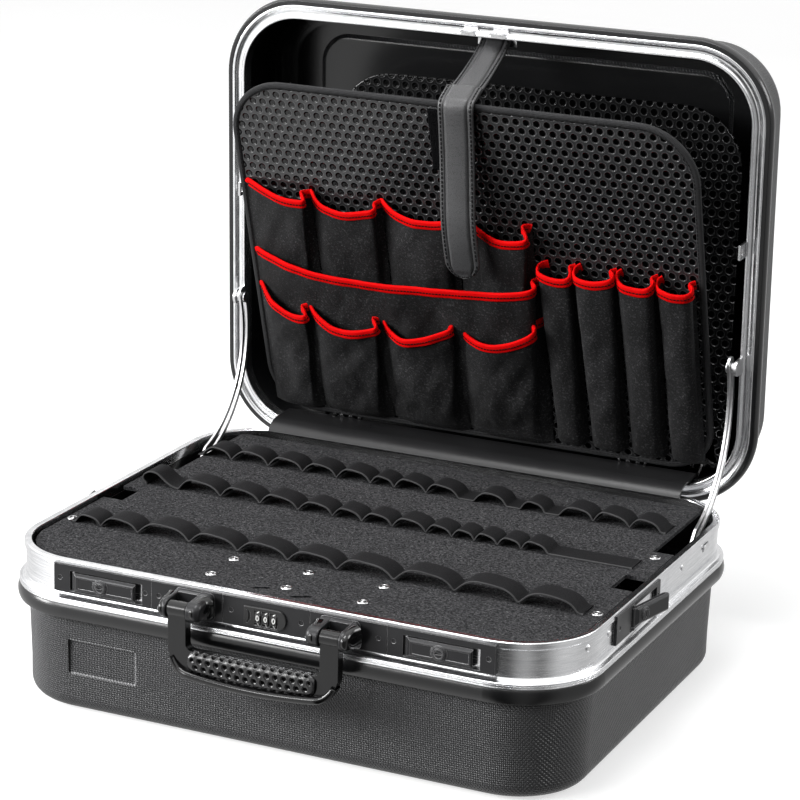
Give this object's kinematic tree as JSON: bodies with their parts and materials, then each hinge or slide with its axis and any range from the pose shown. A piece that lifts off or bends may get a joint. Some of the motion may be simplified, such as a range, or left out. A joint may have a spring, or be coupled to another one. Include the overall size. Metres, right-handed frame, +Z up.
{
  "type": "hard tool case",
  "caption": "Hard-sided case with a hinged lid, slotted stays, a lift-out loop tray, a folding pocket board, lever latches, a number lock and a swinging handle.",
  "frame": {"origin": "centre of the flat underside of the base", "axes": "+X to the right seen from the handle side, +Y to the rear towards the hinges, +Z up"},
  "size_m": [0.4972, 0.4905, 0.4964],
  "materials": {
    "shell_black": "moulded grain",
    "band_metal": "brushed",
    "lock_black": "satin black",
    "steel": "bright",
    "plastic_black": "gloss",
    "felt": "felt",
    "board_cover": "dimpled sheet",
    "elastic": "woven elastic",
    "pocket_twill": "twill",
    "trim_red": "binding tape",
    "strap": "stitched webbing"
  },
  "bodies": {
    "base": {"base_shell": "shell_black", "base_frame": "band_metal", "board_rests": "plastic_black", "latch_plate_front_left": "lock_black", "latch_plate_front_right": "lock_black", "lever_pins_front": "steel", "handle_bracket_left": "lock_black", "handle_bracket_right": "lock_black", "handle_pins": "steel", "combo_plate": "lock_black", "combo_bezel": "lock_black", "lock_case": "plastic_black", "dial_axle": "steel", "latch_plate_side_left": "lock_black", "latch_plate_side_right": "lock_black", "lever_pins_side": "steel", "band_screws": "steel", "hinge_leaves_base": "steel", "hinge_pins": "steel", "stay_studs": "steel"},
    "lid": {"lid_frame": "band_metal", "lid_shell": "shell_black", "lid_strikers": "steel", "lid_catches": "steel", "hinge_cover": "plastic_black", "hinge_leaves_lid": "steel", "stay_pins_lid": "steel", "board_pivots": "steel", "strap_fixing": "steel", "strap_bridge": "strap"},
    "pocket_board": {"lid_board": "board_cover", "board_binding": "board_cover", "pockets_upper": "pocket_twill", "pockets_middle": "pocket_twill", "pockets_lower": "pocket_twill", "pockets_narrow": "pocket_twill", "pocket_trims": "trim_red", "velcro_strip": "strap", "hanging_strap": "strap"},
    "rear_board": {"back_board": "board_cover"},
    "tool_tray": {"tool_board": "felt", "loops_front": "elastic", "loops_middle": "elastic", "loops_back": "elastic", "board_rivets": "steel"},
    "carry_handle": {"handle": "plastic_black", "handle_grip": "plastic_black"},
    "front_lever_left": {"lever_front_left": "lock_black"},
    "side_lever_left": {"lever_side_left": "lock_black"},
    "front_key_left": {"key_barrel_front_left": "lock_black"},
    "side_key_left": {"key_barrel_side_left": "lock_black"},
    "lid_stay_left": {"stay_left": "steel"},
    "front_lever_right": {"lever_front_right": "lock_black"},
    "side_lever_right": {"lever_side_right": "lock_black"},
    "front_key_right": {"key_barrel_front_right": "lock_black"},
    "side_key_right": {"key_barrel_side_right": "lock_black"},
    "lid_stay_right": {"stay_right": "steel"},
    "number_dial_1": {"dial_1": "plastic_black"},
    "number_dial_2": {"dial_2": "plastic_black"},
    "number_dial_3": {"dial_3": "plastic_black"}
  },
  "joints": [
    {"name": "lid_hinge", "type": "hinge", "parent": "base", "child": "lid", "pos_m": [0, 0.19, 0.1133], "axis": [1, 0, 0], "range_deg": [0, 88.5], "deforming": ["strap_bridge"]},
    {"name": "pocket_board_fold", "type": "hinge", "parent": "lid", "child": "pocket_board", "pos_m": [0, 0.21581, 0.13662], "axis": [1, 0, 0], "range_deg": [-23.4, 0]},
    {"name": "rear_board_fold", "type": "hinge", "parent": "lid", "child": "rear_board", "pos_m": [0, 0.224, 0.1374], "axis": [1, 0, 0], "range_deg": [-6.3, 0]},
    {"name": "stay_left_turn", "type": "hinge", "parent": "base", "child": "lid_stay_left", "pos_m": [-0.2216, 0.09603, 0.08552], "axis": [1, 0, 0], "range_deg": [0, 90.3]},
    {"name": "stay_right_turn", "type": "hinge", "parent": "base", "child": "lid_stay_right", "pos_m": [0.2216, 0.09603, 0.08552], "axis": [1, 0, 0], "range_deg": [0, 90.3]},
    {"name": "tool_tray_lift", "type": "slide", "parent": "base", "child": "tool_tray", "axis": [0, 0, -1], "range_m": [-0.09, 0]},
    {"name": "handle_swing", "type": "hinge", "parent": "base", "child": "carry_handle", "pos_m": [0, -0.209, 0.111], "axis": [-1, 0, 0], "range_deg": [0, 95]},
    {"name": "front_lever_left_turn", "type": "hinge", "parent": "base", "child": "front_lever_left", "pos_m": [-0.1632, -0.1884, 0.1082], "axis": [0, 0, -1], "range_deg": [0, 60]},
    {"name": "front_lever_right_turn", "type": "hinge", "parent": "base", "child": "front_lever_right", "pos_m": [0.1124, -0.1884, 0.1082], "axis": [0, 0, -1], "range_deg": [0, 60]},
    {"name": "side_lever_left_turn", "type": "hinge", "parent": "base", "child": "side_lever_left", "pos_m": [-0.236, -0.062, 0.1099], "axis": [0, 0, 1], "range_deg": [-12, 50]},
    {"name": "side_lever_right_turn", "type": "hinge", "parent": "base", "child": "side_lever_right", "pos_m": [0.236, -0.062, 0.1099], "axis": [0, 0, -1], "range_deg": [-12, 50]},
    {"name": "front_key_left_turn", "type": "hinge", "parent": "front_lever_left", "child": "front_key_left", "pos_m": [-0.139, -0.19, 0.1082], "axis": [0, -1, 0], "range_deg": [0, 90]},
    {"name": "front_key_right_turn", "type": "hinge", "parent": "front_lever_right", "child": "front_key_right", "pos_m": [0.1385, -0.19, 0.1082], "axis": [0, -1, 0], "range_deg": [0, 90]},
    {"name": "side_key_right_turn", "type": "hinge", "parent": "side_lever_right", "child": "side_key_right", "pos_m": [0.23831, -0.04971, 0.1099], "axis": [0.9781, -0.2079, 0], "range_deg": [0, 90]},
    {"name": "side_key_left_turn", "type": "hinge", "parent": "side_lever_left", "child": "side_key_left", "pos_m": [-0.23831, -0.04971, 0.1099], "axis": [-0.9781, -0.2079, 0], "range_deg": [0, 90]},
    {"name": "dial_1_turn", "type": "hinge", "parent": "base", "child": "number_dial_1", "pos_m": [-0.0066, -0.1832, 0.108], "axis": [1, 0, 0], "continuous": true},
    {"name": "dial_2_turn", "type": "hinge", "parent": "base", "child": "number_dial_2", "pos_m": [0, -0.1832, 0.108], "axis": [1, 0, 0], "continuous": true},
    {"name": "dial_3_turn", "type": "hinge", "parent": "base", "child": "number_dial_3", "pos_m": [0.0066, -0.1832, 0.108], "axis": [1, 0, 0], "continuous": true}
  ],
  "couplings": [
    {"joint": "pocket_board_fold", "follows": "lid_hinge", "ratio": -0.26328},
    {"joint": "rear_board_fold", "follows": "lid_hinge", "ratio": -0.070056},
    {"joint": "stay_left_turn", "follows": "lid_hinge", "ratio": 1.018},
    {"joint": "stay_right_turn", "follows": "lid_hinge", "ratio": 1.018}
  ]
}
